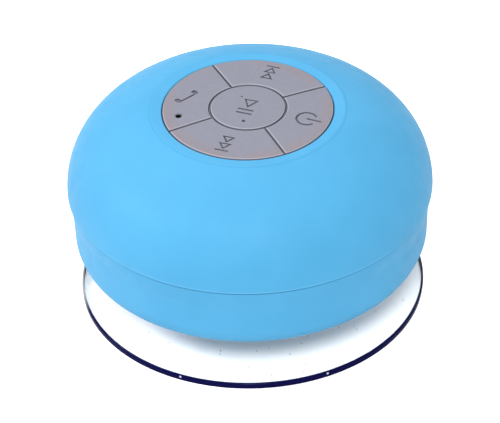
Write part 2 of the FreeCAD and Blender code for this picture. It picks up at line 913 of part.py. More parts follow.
def key_call():
    body = outer_key("key_call", -90, handset_mark)
    cut(body, lambda s: disc(s, "mic_y", "mic_x", "mic_hole"), "52", "4")
    # A shallow rim around the hole.
    face = "(key_crown - (mic_x^2 + mic_y^2) / crown_sweep / 2)"
    cut(body, lambda s: disc(s, "mic_y", "mic_x", "mic_hole + mic_rim"), f"{face} + 1", "1.15")
    return body


def key_play():
    body = new_body("key_play")
    padded(body, lambda s: disc(s, "0", "0", "ring_rad - groove_half"), "key_low", "4")
    crown_cut(body, "0")
    softened(body, "key_round", is_top_edge)
    engrave(body, play_mark, "2")
    padded(body, lambda s: disc(s, "0", "0", "stem_rad"), "plunger_top", "key_low + 0.1 - plunger_top")
    cut(body, lambda s: disc(s, "led_x", "led_y", "0.45"), "52", "4")
    cut(body, lambda s: disc(s, "-3.4", "-2.7", "0.25"), "52", "52 - key_crown + 0.4")
    return body


def keypad_mat():
    """The rubber mat under the keys, with thin ribs that stand in the grooves between them."""
    body = new_body("keypad_mat")
    padded(body, lambda s: disc(s, "0", "0", "mat_rad"), "mat_low", "ceiling_high - mat_low")
    padded(
        body,
        lambda s: (disc(s, "0", "0", "ring_rad + rib_half"), disc(s, "0", "0", "ring_rad - rib_half")),
        "mat_low + 0.4",
        "5",
    )
    slant = "cos(45)"
    near = f"(ring_rad * {slant})"
    far = f"((key_rad - 0.3) * {slant})"
    half = f"(rib_half * {slant})"
    rib = padded(
        body,
        lambda s: outline(s, [
            (f"{near} + {half}", f"{near} - {half}"), (f"{far} + {half}", f"{far} - {half}"),
            (f"{far} - {half}", f"{far} + {half}"), (f"{near} - {half}", f"{near} + {half}"),
        ]),
        "mat_low + 0.4",
        "5",
    )
    around(body, [rib], "4")
    crown_cut(body, "rib_drop")
    side = cut(body, lambda s: disc(s, "key_at", "0", "stem_hole"), "ceiling_high + 0.1", "1.5")
    around(body, [side], "4")
    cut(body, lambda s: (disc(s, "0", "0", "stem_hole"), disc(s, "mic_x", "-mic_y", "mic_hole"),
                         disc(s, "led_x", "led_y", "0.4")), "ceiling_high + 0.1", "1.5")
    return body


def keypad_frame():
    """A plastic ring that presses the mat's edge against the ceiling, on four short legs."""
    body = new_body("keypad_frame")
    padded(body, lambda s: (disc(s, "0", "0", "mat_rad + 1"), disc(s, "0", "0", "19.3")),
           "mat_low - 1", "1")
    leg = padded(body, lambda s: disc(s, "21.3", "0", "1.3"), BOARD_TOP, f"mat_low - 0.5 - {BOARD_TOP}")
    around(body, [leg], "4")
    return body


# ---- boards and battery ------------------------------------------------------------------------

KEY_PLACES = {
    "next": ("key_at", "0"),
    "power": ("0", "key_at"),
    "previous": ("-key_at", "0"),
    "call": ("0", "-key_at"),
    "play": ("0", "0"),
}


def main_board():
    body = new_body("main_board")
    padded(body, lambda s: disc(s, "0", "0", "board_rad"), "board_low", "board_thick")
    hole = cut(body, lambda s: disc(s, "board_screw_ring", "0", "1.2"), f"{BOARD_TOP} + 0.1", "2")
    around(body, [hole], "4")
    turn_about_z(body, 45)
    return body


def board_screws():
    """Four screws from below that hold the board to the upper housing's bosses."""
    body = new_body("board_screws")
    head = padded(body, lambda s: disc(s, "board_screw_ring", "0", "1.9"), "board_low - 1.1", "1.1")
    shank = padded(body, lambda s: disc(s, "board_screw_ring", "0", "0.9"), "board_low - 0.1", "3.2")
    around(body, [head, shank], "4")
    turn_about_z(body, 45)
    return body


def switch_bodies():
    """Five tactile switches, one under each key, each with a well for its plunger."""
    body = new_body("switch_bodies")

    def squares(sketch):
        half = "switch_side / 2"
        for x, y in KEY_PLACES.values():
            rectangle(sketch, f"{x} - {half}", f"{x} + {half}", f"{y} - {half}", f"{y} + {half}")

    def wells(sketch):
        for x, y in KEY_PLACES.values():
            disc(sketch, x, y, "plunger_rad + fit_gap")

    padded(body, squares, BOARD_TOP, "switch_tall")
    cut(body, wells, f"{BOARD_TOP} + switch_tall", "1")
    return body


def plungers():
    return [
        rod(f"plunger_{name}", x, y, "plunger_rad", "plunger_top - plunger_tall", "plunger_tall")
        for name, (x, y) in KEY_PLACES.items()
    ]


def bluetooth_module():
    """A shield can under the board, hollow below its own small board."""
    return block("bluetooth_module", "8", "17", "board_low - 2", "13", "9", "2")


def amplifier_chip():
    """The amplifier in its small flat package, with a row of legs on each long side."""
    body = new_body("amplifier_chip")
    padded(body, lambda s: rectangle(s, "-11", "-6", "15", "19"), "board_low - 1.5", "1.4")

    def legs(sketch):
        for number in range(4):
            left = f"{-10.6 + 1.2 * number:.1f}"
            rectangle(sketch, left, f"{left} + 0.4", "14", "20")

    padded(body, legs, "board_low - 0.4", "0.4")
    return body


def crystal():
    return block("crystal", "-8", "7.5", BOARD_TOP, "3.2", "2.5", "0.8")


def board_capacitors():
    """Six small ceramic capacitors along an arc of the board's upper face."""
    body = new_body("board_capacitors")

    def pads(sketch):
        for number in range(6):
            left = f"{-15.6 + 3 * number:.1f}"
            rectangle(sketch, left, f"{left} + 2", "-18.2", "-17")

    padded(body, pads, BOARD_TOP, "0.9")
    return body


def status_led():
    return block("status_led", "led_x", "led_y", BOARD_TOP, "1.6", "1.2", "0.7")


def light_pipe():
    """A clear pin that carries the indicator's light up through the centre key."""
    body = new_body("light_pipe")
    top = "key_crown - 0.45"
    padded(body, lambda s: disc(s, "led_x", "led_y", "0.3"),
           f"{BOARD_TOP} + 0.7", f"{top} - {BOARD_TOP} - 0.7")
    padded(body, lambda s: disc(s, "led_x", "led_y", "0.9"), "mat_low - 0.6", "0.6")
    return body


def microphone():
    return rod("microphone", "mic_x", "-mic_y", "2", BOARD_TOP, "1.5")


def microphone_boot():
    """The rubber boot that seals the microphone to the mat's sound hole."""
    body = new_body("microphone_boot")
    padded(body, lambda s: (disc(s, "mic_x", "-mic_y", "2.6"), disc(s, "mic_x", "-mic_y", "2.02")),
           BOARD_TOP, "1.6")
    padded(body, lambda s: (disc(s, "mic_x", "-mic_y", "2.6"), disc(s, "mic_x", "-mic_y", "mic_hole")),
           f"{BOARD_TOP} + 1.5", f"mat_low - {BOARD_TOP} - 1.5")
    return body


def battery_connector():
    return block("battery_connector", "-22", "0", "board_low - plug_tall", "5", "8", "plug_tall")


def speaker_connector():
    return block("speaker_connector", "22", "0", "board_low - plug_tall", "5", "8", "plug_tall")


def battery():
    """A small pouch cell, with rounded upright edges."""
    body = new_body("battery")
    x = "battery_long / 2"
    y = "battery_wide / 2"
    padded(body, lambda s: rectangle(s, f"-{x}", x, f"-{y}", y), "battery_low", "battery_tall")
    softened(body, "1.6", lambda edge: abs(edge.Vertexes[0].Point.z - edge.Vertexes[-1].Point.z) > 1)
    return body


def battery_foam():
    return block("battery_foam", "0", "0", "battery_low - 0.8", "24", "14", "0.8")


# ---- charging port -----------------------------------------------------------------------------

def charge_board():
    body = new_body("charge_board")
    padded(body, lambda s: rectangle(s, "-8", "8", "-38.1", "-27"),
           "charge_board_low", "charge_board_thick")
    cut(body, lambda s: (disc(s, "5.5", "-30.5", "1.1"), disc(s, "-5.5", "-30.5", "1.1")),
        f"{CHARGE_TOP} + 0.1", "2")
    return body


def charge_board_screws():
    body = new_body("charge_board_screws")
    padded(body, lambda s: (disc(s, "5.5", "-30.5", "1.7"), disc(s, "-5.5", "-30.5", "1.7")),
           CHARGE_TOP, "1")
    padded(body, lambda s: (disc(s, "5.5", "-30.5", "0.8"), disc(s, "-5.5", "-30.5", "0.8")),
           f"{CHARGE_TOP} - 3.4", "3.5")
    return body


def usb_shell():
    """The folded metal shell of the charging socket, open towards -Y."""
    body = new_body("usb_shell")
    mouth = "block_y + 0.4"

    def section(sketch, shrink):
        x = f"(usb_wide / 2 - {shrink})"
        low = f"({CHARGE_TOP} + {shrink})"
        high = f"({CHARGE_TOP} + usb_tall - {shrink})"
        outline(sketch, [
            (f"-{x} + 0.9", low), (f"{x} - 0.9", low), (x, f"{low} + 0.9"),
            (x, high), (f"-{x}", high), (f"-{x}", f"{low} + 0.9"),
        ])

    cut_from = plane_sketch(body, "XZ_Plane", f"{mouth} - usb_long")
    section(cut_from, "0")
    pad = body.newObject("PartDesign::Pad", "usb_shell_pad")
    pad.Profile = cut_from
    pad.setExpression("Length", bound("usb_long"))
    cut(body, lambda s: section(s, "0.3"), f"{mouth} + 0.1", "usb_long - 0.4", "XZ_Plane")
    return body


def usb_tongue():
    """The contact tongue inside the socket."""
    return block("usb_tongue", "0", "-(block_y + 0.4) + usb_long / 2 - 0.1", f"{CHARGE_TOP} + 1.35",
                 "4", "usb_long - 1", "0.7")


def port_plug():
    """The rubber plug: a plate flush with the drum, a nub in the port and a knuckle on the pivot."""
    body = new_body("port_plug")
    low = "port_high - recess_tall / 2 + 0.1"
    high = "port_high + recess_tall / 2 - 0.1"

    def slab(left, right, bottom, top, near, far):
        sketch = plane_sketch(body, "XZ_Plane", near)
        rectangle(sketch, left, right, bottom, top)
        pad = body.newObject("PartDesign::Pad", "port_plug_pad")
        pad.Profile = sketch
        pad.setExpression("Length", bound(f"{far} - ({near})"))

    slab("-recess_half + 0.15", "pivot_x - 0.5", low, high, "recess_y + 0.1", "43")
    slab("-3.5", "3.5", "port_high - 1.25", "port_high + 1.25", "block_y + 0.7", "recess_y + 0.2")
    # The plate's outer face follows the drum.
    outside_drum(body, "0.08")
    # A finger lip, cut under the plate's free end.
    cut(body, lambda s: rectangle(s, "-8", "-6.2", "-42.5", "-recess_y - 0.6"), high, "recess_tall")
    padded(body, lambda s: disc(s, "pivot_x", "-pivot_y", "knuckle_rad"), low, "recess_tall - 0.2")
    padded(body, lambda s: disc(s, "pivot_x", "-pivot_y", "pivot_rad"),
           f"{low} - 0.75", "recess_tall + 1.3")
    return body


# ---- wires inside the housing ------------------------------------------------------------------

def pipe(points, radius):
    """A round wire along straight runs joined by tangent arcs."""
    route = [Vector(*point) for point in points]
    edges = []
    here = route[0]
    for before, corner, after in zip(route, route[1:], route[2:]):
        inwards = (before - corner).normalize()
        outwards = (after - corner).normalize()
        reach = 0.45 * min((before - corner).Length, (after - corner).Length)
        first = corner + inwards * reach
        last = corner + outwards * reach
        half_turn = (inwards * -1).getAngle(outwards) / 2
        bend = reach / math.tan(half_turn)
        centre = corner + (inwards + outwards).normalize() * (bend ** 2 + reach ** 2) ** 0.5
        middle = centre + (corner - centre).normalize() * bend
        edges.append(Part.LineSegment(here, first).toShape())
        edges.append(Part.Arc(first, middle, last).toShape())
        here = last
    edges.append(Part.LineSegment(here, route[-1]).toShape())
    spine = Part.Wire(edges)
    section = Part.Wire(Part.makeCircle(radius, route[0], route[1] - route[0]))
    return spine.makePipeShell([section], True, True)


def coded(label, shape):
    """A sub-part whose shape is set in code, from sizes read in the sheet."""
    item = doc.addObject("Part::Feature", label)
    item.Label = label
    item.Shape = shape
    item.Placement = FreeCAD.Placement()
    return item


def wires():
    """Three pairs of leads, each named after the piece that it starts from."""
    radius = value("wire_rad")
    plug = value("board_low - plug_tall")
    under = value("board_low")
    terminal = value(f"{FLANGE_TOP} + 3.5")
    cell_end = value("battery_long / 2")
    deck = value(CHARGE_TOP)
    made = []
    for name, side in (("red", 1), ("black", -1)):
        y = 1.8 * side
        x = 2.5 * side
        speaker = [(19.8, y, terminal), (19.8, y, 24), (23.4, y, 31), (22, y, 36.5), (22, y, plug)]
        cell = [(-cell_end, y, 37.2), (-22.2, y, 37.2), (-22.2, y, plug)]
        charge = [(x, -28.4, deck), (x, -28.4, 24), (x, -25.2, 33), (x, -25.2, under)]
        made.append(coded(f"speaker_wire_{name}", pipe(speaker, radius)))
        made.append(coded(f"battery_wire_{name}", pipe(cell, radius)))
        made.append(coded(f"charge_wire_{name}", pipe(charge, radius)))
    return made


# ---- build, check and write --------------------------------------------------------------------

PIECES = [
    suction_cup, cup_hub, hub_socket, lower_housing, upper_housing, housing_seal, housing_screws,
    grille_mesh, speaker_gasket, speaker_frame, speaker_surround, speaker_cone, dust_cap,
    voice_coil_former, voice_coil, speaker_spider, speaker_top_plate, speaker_magnet, speaker_yoke,
    speaker_terminal, speaker_screws, tinsel_leads, keypad_mat, keypad_frame, key_power, key_call,
    key_previous, key_next, key_play, plungers, switch_bodies, main_board, board_screws,
    bluetooth_module, amplifier_chip, crystal, board_capacitors, status_led, light_pipe, microphone,
    microphone_boot, battery_connector, speaker_connector, battery, battery_foam, charge_board,
    charge_board_screws, usb_shell, usb_tongue, port_plug, wires,
]
made = []
for piece in PIECES:
    result = piece()
    made.extend(result if isinstance(result, list) else [result])
doc.recompute()

for item in doc.Objects:
    if "Invalid" in item.State or "Error" in item.State:
        raise ValueError(f"{item.Label} failed: {item.State}")
for item in made:
    if item.Shape.isNull() or not item.Shape.isValid() or not item.Shape.Solids:
        raise ValueError(f"{item.Label} has no valid solid")

os.makedirs("parts", exist_ok=True)
for item in made:
    item.Shape.exportStep(f"parts/{item.Label}.step")
    box = item.Shape.BoundBox
    print(f"{item.Label:22s} solids {len(item.Shape.Solids)} volume {item.Shape.Volume:10.2f} "
          f"z {box.ZMin:6.2f} to {box.ZMax:6.2f}")
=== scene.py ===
import json
import math

import bmesh
import bpy
from mathutils import Matrix, Vector


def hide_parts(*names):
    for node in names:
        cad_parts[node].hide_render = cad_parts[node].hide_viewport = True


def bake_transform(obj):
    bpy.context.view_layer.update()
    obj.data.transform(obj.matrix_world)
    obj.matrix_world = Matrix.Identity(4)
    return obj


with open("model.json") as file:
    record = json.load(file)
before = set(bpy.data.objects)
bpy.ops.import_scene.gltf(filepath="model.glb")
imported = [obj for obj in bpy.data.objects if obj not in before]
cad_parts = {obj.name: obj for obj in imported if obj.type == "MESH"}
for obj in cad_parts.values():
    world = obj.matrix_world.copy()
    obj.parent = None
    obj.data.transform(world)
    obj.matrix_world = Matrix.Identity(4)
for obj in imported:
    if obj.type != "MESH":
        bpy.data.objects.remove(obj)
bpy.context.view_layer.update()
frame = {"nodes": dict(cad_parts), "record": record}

nodes = frame["nodes"]

# Sizes in metres.
MM = 0.001
CUP_RAD = 0.0411         # outer radius of the suction cup
KEY_CROWN = 0.0506       # height of the keypad's middle
CROWN_SWEEP = 0.430      # radius of the keypad's crowned face
KEYPAD_RAD = 0.0198
KEY_RING = 0.0089        # radius of the groove around the middle key
MIC_PLACE = (0.0081, -0.0141)
MIC_RAD = 0.00066
COLLAR_RAD = 0.0229      # radius of the crease around the keypad's collar
COLLAR_HIGH = 0.0490     # the crease lies above this height
PARTING_HIGH = 0.0295    # lower edge of the upper housing
PARTING_GAP = 0.0003


# ---- material helpers --------------------------------------------------------------------------

def linear(red, green, blue):
    """Display colour, 0 to 255, as the linear colour that shaders take."""
    def one(level):
        level /= 255
        return level / 12.92 if level <= 0.04045 else ((level + 0.055) / 1.055) ** 2.4
    return (one(red), one(green), one(blue), 1)


class Shader:
    """A material's node tree, with a few short ways to add to it."""

    def __init__(self, name, roughness=0.5, metallic=0.0, specular=0.5):
        self.material = bpy.data.materials.new(name)
        self.material.use_nodes = True
        self.tree = self.material.node_tree
        self.surface = self.tree.nodes["Principled BSDF"]
        self.surface.inputs["Roughness"].default_value = roughness
        self.surface.inputs["Metallic"].default_value = metallic
        self.surface.inputs["Specular IOR Level"].default_value = specular
        self.place = self.add("ShaderNodeTexCoord").outputs["Object"]

    def add(self, kind, **values):
        node = self.tree.nodes.new(kind)
        for key, value in values.items():
            setattr(node, key, value)
        return node

    def link(self, source, target):
        self.tree.links.new(source, target)

    def set(self, name, value):
        self.surface.inputs[name].default_value = value

    def noise(self, scale, detail=4, stretch=None):
        """Noise, with scale in cells per metre. stretch squeezes it along the axes."""
        node = self.add("ShaderNodeTexNoise")
        node.inputs["Scale"].default_value = scale
        node.inputs["Detail"].default_value = detail
        node.inputs["Roughness"].default_value = 0.55
        place = self.place
        if stretch:
            mapping = self.add("ShaderNodeMapping")
            mapping.inputs["Scale"].default_value = stretch
            self.link(place, mapping.inputs["Vector"])
            place = mapping.outputs["Vector"]
        self.link(place, node.inputs["Vector"])
        return node.outputs["Fac"]

    def speckle(self, scale, size):
        """Small round spots: 1 inside each spot, 0 outside."""
        node = self.add("ShaderNodeTexVoronoi")
        node.inputs["Scale"].default_value = scale
        self.link(self.place, node.inputs["Vector"])
        return self.ramp(node.outputs["Distance"], [(0, (1, 1, 1, 1)), (size, (0, 0, 0, 1))])

    def ramp(self, source, stops):
        node = self.add("ShaderNodeValToRGB")
        band = node.color_ramp
        while len(band.elements) < len(stops):
            band.elements.new(1)
        for element, (position, colour) in zip(band.elements, stops):
            element.position = position
            element.color = colour
        self.link(source, node.inputs["Fac"])
        return node.outputs["Color"]

    def between(self, factor, first, second):
        """Mixes two colours by a factor. Each may be a colour or a socket."""
        node = self.add("ShaderNodeMix", data_type="RGBA")
        self.link(factor, node.inputs["Factor"])
        for socket, colour in ((node.inputs["A"], first), (node.inputs["B"], second)):
            if isinstance(colour, bpy.types.NodeSocket):
                self.link(colour, socket)
            else:
                socket.default_value = colour
        return node.outputs["Result"]

    def math(self, operation, *values):
        node = self.add("ShaderNodeMath", operation=operation)
        for socket, value in zip(node.inputs, values):
            if isinstance(value, bpy.types.NodeSocket):
                self.link(value, socket)
            else:
                socket.default_value = value
        return node.outputs["Value"]

    def spread(self, source, low, high, out_low=0.0, out_high=1.0):
        """Maps a value from one range to another, smoothly and clamped."""
        node = self.add("ShaderNodeMapRange", interpolation_type="SMOOTHSTEP")
        self.link(source, node.inputs["Value"])
        for name, value in (("From Min", low), ("From Max", high), ("To Min", out_low), ("To Max", out_high)):
            node.inputs[name].default_value = value
        return node.outputs["Result"]

    def band(self, value, middle, solid, faded):
        """1 within solid of the middle value, fading to 0 at faded from it."""
        apart = self.math("ABSOLUTE", self.math("SUBTRACT", value, middle))
        return self.spread(apart, solid, faded, 1, 0)

    def length(self, *parts):
        """Length of the vector with these parts."""
        total = self.math("MULTIPLY", parts[0], parts[0])
        for part in parts[1:]:
            total = self.math("ADD", total, self.math("MULTIPLY", part, part))
        return self.math("SQRT", total)

    def axes(self):
        node = self.add("ShaderNodeSeparateXYZ")
        self.link(self.place, node.inputs["Vector"])
        return node.outputs["X"], node.outputs["Y"], node.outputs["Z"]

    def radius(self):
        """Distance from the object's axis, in metres."""
        x, y, _ = self.axes()
        return self.length(x, y)

    def colour(self, source):
        self.link(source, self.surface.inputs["Base Color"])

    def mottled(self, colour, amount, scale):
        """A base colour that wanders a little in brightness."""
        darker = tuple(part * (1 - amount) for part in colour[:3]) + (1,)
        lighter = tuple(min(1, part * (1 + amount)) for part in colour[:3]) + (1,)
        self.colour(self.between(self.noise(scale), darker, lighter))

    def rough(self, source, low, high):
        """Roughness that follows a noise from low to high."""
        self.link(self.spread(source, 0.3, 0.7, low, high), self.surface.inputs["Roughness"])

    def bump(self, source, height, strength=1.0):
        """Bump of the given height in metres; calls add up."""
        node = self.add("ShaderNodeBump")
        node.inputs["Distance"].default_value = height
        node.inputs["Strength"].default_value = strength
        self.link(source, node.inputs["Height"])
        normal = self.surface.inputs["Normal"]
        if normal.is_linked:
            self.link(normal.links[0].from_socket, node.inputs["Normal"])
        self.link(node.outputs["Normal"], normal)


# ---- materials ---------------------------------------------------------------------------------

def soft_touch_blue(name="soft_touch_blue"):
    """Rubbery soft-touch paint: a very fine grain and faint clouding, dull all over."""
    shader = Shader(name, roughness=0.6, specular=0.12)
    cloud = shader.noise(45, 3)
    tint = shader.between(shader.spread(cloud, 0.35, 0.65),
                          (0.036, 0.180, 0.312, 1), (0.040, 0.190, 0.327, 1))
    specks = shader.speckle(1500, 0.06)
    dusty = shader.between(shader.math("MULTIPLY", specks, 0.12), tint, (0.07, 0.24, 0.36, 1))
    # Painted shade: the crease at the foot of the keypad's collar is darkened a little.
    radius, height = shader.radius(), shader.axes()[2]
    crease = shader.math("MULTIPLY", shader.band(radius, COLLAR_RAD, 0.00005, 0.00035),
                         shader.spread(height, COLLAR_HIGH - 0.0005, COLLAR_HIGH))
    crease_shaded = shader.between(shader.math("MULTIPLY", crease, 0.5), dusty, (0.027, 0.152, 0.272, 1))
    # Painted shade darkens both lips of the parting line, and just above them a painted highlight draws a
    # paler line.
    outside = shader.spread(radius, 0.0415, 0.0420)
    lips = shader.math("MULTIPLY", outside,
                       shader.band(height, PARTING_HIGH - PARTING_GAP / 2, 0.00018, 0.00036))
    lip_shaded = shader.between(shader.math("MULTIPLY", lips, 0.42), crease_shaded, (0.020, 0.118, 0.215, 1))
    # Painted highlight: the paler line above the parting line.
    lip_highlight = shader.math("MULTIPLY", outside, shader.band(height, PARTING_HIGH + 0.00036, 0.00005, 0.00022))
    shader.colour(shader.between(shader.math("MULTIPLY", lip_highlight, 0.6), lip_shaded, (0.060, 0.225, 0.365, 1)))
    shader.rough(shader.noise(300, 5), 0.56, 0.66)
    shader.bump(shader.noise(5200, 3), 0.00003, 0.35)
    shader.bump(shader.noise(160, 2), 0.00008, 0.05)
    return shader.material


def keypad_depth(shader):
    """How far a point lies below the keypad's crowned face, in metres."""
    x, y, z = shader.axes()
    flat = shader.math("ADD", shader.math("MULTIPLY", x, x), shader.math("MULTIPLY", y, y))
    sag = shader.math("MULTIPLY", flat, 1 / (2 * CROWN_SWEEP))
    return shader.math("SUBTRACT", shader.math("SUBTRACT", KEY_CROWN, sag), z)


def silicone_grey():
    """Moulded silicone: a matte lilac grey, warmer at the keypad's edge, with painted highlights on the key
    rims and painted shade in the grooves and inside its marks.
    """
    shader = Shader("silicone_grey", roughness=0.6, specular=0.2)
    body = shader.between(shader.noise(420, 5), (0.104, 0.105, 0.131, 1), (0.118, 0.119, 0.146, 1))
    warm = shader.between(shader.noise(900, 3), (0.114, 0.100, 0.113, 1), (0.128, 0.112, 0.125, 1))
    radius = shader.radius()
    patches = shader.spread(shader.noise(130, 3), 0.38, 0.58)
    edge = shader.math("MULTIPLY", shader.spread(radius, 0.0155, 0.0195), patches)
    mixed = shader.between(edge, body, warm)
    lint = shader.speckle(1100, 0.07)
    dusty = shader.between(shader.math("MULTIPLY", lint, 0.3), mixed, (0.05, 0.048, 0.062, 1))
    # Distance to the nearest groove: the ring's, a diagonal one or the keypad's own edge.
    x, y, _ = shader.axes()
    slant = shader.math("SUBTRACT", shader.math("ABSOLUTE", x), shader.math("ABSOLUTE", y))
    to_slant = shader.math("MULTIPLY", shader.math("ABSOLUTE", slant), math.sqrt(0.5))
    # The diagonal grooves stop at the ring, so that inside it they don't count.
    to_slant = shader.math("ADD", to_slant, shader.math("LESS_THAN", radius, KEY_RING))
    to_ring = shader.math("ABSOLUTE", shader.math("SUBTRACT", radius, KEY_RING))
    to_edge = shader.math("SUBTRACT", KEYPAD_RAD, radius)
    near = shader.math("MINIMUM", shader.math("MINIMUM", to_slant, to_ring), to_edge)
    depth = keypad_depth(shader)
    # Painted highlight on the rounded rims of the keys, and painted shade on the grooves' walls and inside
    # the marks cut into the keys.
    grooved = shader.spread(near, 0.0006, 0.0007, 1, 0)
    rim_highlight = shader.math("MULTIPLY", grooved, shader.spread(depth, 0.00001, 0.00005))
    rim_light_and_shade = shader.between(shader.math("MULTIPLY", rim_highlight, 0.65), dusty, (0.205, 0.205, 0.240, 1))
    wall = shader.math("MULTIPLY", grooved, shader.spread(depth, 0.00012, 0.00026))
    rim_light_and_shade = shader.between(shader.math("MULTIPLY", wall, 0.85), rim_light_and_shade, (0.050, 0.048, 0.062, 1))
    mark_shade = shader.math("MULTIPLY", shader.spread(near, 0.0006, 0.0009), shader.spread(depth, 0.0001, 0.0002))
    marked = shader.between(shader.math("MULTIPLY", mark_shade, 0.7), rim_light_and_shade, (0.045, 0.043, 0.056, 1))
    # Painted shade: the microphone hole is painted near black.
    apart = shader.length(shader.math("SUBTRACT", x, MIC_PLACE[0]), shader.math("SUBTRACT", y, MIC_PLACE[1]))
    hole_shade = shader.spread(apart, MIC_RAD, MIC_RAD + 0.00006, 1, 0)
    shader.colour(shader.between(hole_shade, marked, (0.002, 0.002, 0.003, 1)))
    shader.rough(shader.noise(700, 4), 0.55, 0.68)
    shader.bump(shader.noise(3600, 4), 0.00004, 0.5)
    shader.bump(shader.noise(500, 3), 0.00008, 0.25)
    return shader.material


def groove_grey():
    """The mat and the ribs between the keys, a darker grey of the same silicone."""
    shader = Shader("groove_grey", roughness=0.7, specular=0.15)
    shader.mottled((0.085, 0.082, 0.104, 1), 0.12, 700)
    shader.bump(shader.noise(3600, 4), 0.00004, 0.5)
    return shader.material


def cup_vinyl():
    """Clear soft vinyl with a painted navy reflection on its square-cut edge, trapped specks and two pale
    spots on the edge.
    """
    shader = Shader("cup_vinyl", roughness=0.12, specular=0.3)
    x, y, z = shader.axes()
    radius = shader.radius()
    # 1 on the outer wall of the lip, which is cut square.
    wall = shader.spread(radius, CUP_RAD - 0.00060, CUP_RAD - 0.00040)
    # The painted navy reflection fades to a painted pale grey over one short stretch of the edge, where the
    # light falls differently.
    angle = shader.math("ARCTAN2", y, x)
    pale_light = shader.math("MULTIPLY", shader.spread(angle, math.radians(-86), math.radians(-68)),
                       shader.spread(angle, math.radians(-62), math.radians(-50), 1, 0))
    navy_reflection = shader.between(shader.noise(400, 4), (0.0011, 0.0010, 0.019, 1), (0.0026, 0.0024, 0.034, 1))
    edge = shader.between(shader.math("MULTIPLY", pale_light, 0.9), navy_reflection, (0.22, 0.22, 0.23, 1))
    # Two small pale grey spots on the edge.
    pale_spots = None
    for degrees in (-4, 45):
        turn = math.radians(degrees)
        apart = shader.length(
            shader.math("SUBTRACT", x, CUP_RAD * math.cos(turn)),
            shader.math("SUBTRACT", y, CUP_RAD * math.sin(turn)),
            shader.math("SUBTRACT", z, 0.0010),
        )
        pale_spot = shader.spread(apart, 0.00022, 0.00034, 1, 0)
        pale_spots = pale_spot if pale_spots is None else shader.math("MAXIMUM", pale_spots, pale_spot)
    edge = shader.between(pale_spots, edge, (0.30, 0.30, 0.32, 1))
    specks = shader.speckle(330, 0.10)
    film = shader.between(specks, (0.34, 0.35, 0.37, 1), (0.02, 0.02, 0.03, 1))
    shader.colour(shader.between(wall, film, edge))
    facing = shader.add("ShaderNodeLayerWeight")
    facing.inputs["Blend"].default_value = 0.25
    clear = shader.spread(facing.outputs["Facing"], 0.3, 1.0, 0.02, 0.10)
    shown = shader.math("MAXIMUM", clear, shader.math("MULTIPLY", specks, 0.6))
    shader.link(shader.math("MAXIMUM", shown, wall), shader.surface.inputs["Alpha"])
    shader.link(shader.spread(wall, 0, 1, 0.3, 0.02), shader.surface.inputs["Specular IOR Level"])
    shader.rough(shader.noise(260, 4), 0.08, 0.18)
    shader.bump(shader.noise(240, 3), 0.00006, 0.3)
    return shader.material


def plain(name, colour, roughness, metallic=0.0, grain=900, depth=0.00003, amount=0.12, stretch=None):
    """A moulded, plated or woven finish with its own grain and uneven gloss."""
    shader = Shader(name, roughness=roughness, metallic=metallic)
    shader.mottled(linear(*colour), amount, grain * 0.4)
    grain_noise = shader.noise(grain, 4, stretch=stretch)
    shader.rough(grain_noise, max(0.03, roughness - 0.08), min(1, roughness + 0.08))
    shader.bump(grain_noise, depth, 0.5)
    return shader.material


def woven(name, colour, pitch):
    """A fine woven or knitted mesh."""
    shader = Shader(name, roughness=0.85)
    x, y, _ = shader.axes()
    across = shader.math("SINE", shader.math("MULTIPLY", x, 2 * math.pi / pitch))
    along = shader.math("SINE", shader.math("MULTIPLY", y, 2 * math.pi / pitch))
    weave = shader.math("MULTIPLY", across, along)
    level = shader.spread(weave, -0.6, 0.6)
    dark = tuple(part * 0.35 for part in linear(*colour)[:3]) + (1,)
    shader.colour(shader.between(level, dark, linear(*colour)))
    shader.bump(level, 0.0001, 0.8)
    return shader.material


MATERIALS = {
    "clear_pvc": cup_vinyl(),
    "blue_shell": soft_touch_blue(),
    "blue_rubber": soft_touch_blue("plug_rubber_blue"),
    "grey_silicone": silicone_grey(),
    "clear_plastic": plain("clear_plastic", (196, 202, 212), 0.2, amount=0.04),
    "black_rubber": plain("black_rubber", (22, 22, 24), 0.7, grain=1600),
    "steel_screw": plain("steel_screw", (150, 151, 155), 0.3, 1.0, grain=2600, stretch=(1, 6, 1)),
    "black_cloth": woven("black_cloth", (40, 40, 44), 0.0007),
    "pressed_steel": plain("pressed_steel", (26, 26, 29), 0.4, 0.3),
    "paper_cone": plain("paper_cone", (46, 46, 50), 0.85, grain=1500, depth=0.0001, amount=0.25),
    "brown_former": plain("brown_former", (120, 78, 34), 0.35),
    "copper": plain("copper", (196, 112, 62), 0.3, 1.0, grain=3000, stretch=(1, 1, 9)),
    "amber_cloth": woven("amber_cloth", (184, 132, 58), 0.0006),
    "zinc_steel": plain("zinc_steel", (176, 178, 182), 0.28, 1.0, grain=2200, stretch=(1, 5, 1)),
    "ferrite": plain("ferrite", (42, 42, 45), 0.55, grain=1800, amount=0.3),
    "brown_board": plain("brown_board", (122, 84, 44), 0.6, grain=2500, stretch=(1, 8, 1)),
    "black_plastic": plain("black_plastic", (24, 24, 26), 0.5, grain=2200),
    "green_board": plain("green_board", (16, 92, 48), 0.3, grain=1400, amount=0.18),
    "chip_plastic": plain("chip_plastic", (30, 30, 33), 0.55, grain=2600),
    "tan_ceramic": plain("tan_ceramic", (172, 138, 98), 0.5, grain=2600),
    "white_plastic": plain("white_plastic", (228, 224, 210), 0.45, grain=1500, amount=0.05),
    "silver_pouch": plain("silver_pouch", (188, 190, 194), 0.32, 0.8, grain=600, depth=0.0002),
    "black_foam": plain("black_foam", (30, 30, 32), 0.95, grain=1800, depth=0.0003, amount=0.4),
    "red_insulation": plain("red_insulation", (176, 22, 24), 0.35, grain=1500),
    "black_insulation": plain("black_insulation", (18, 18, 20), 0.35, grain=1500),
}

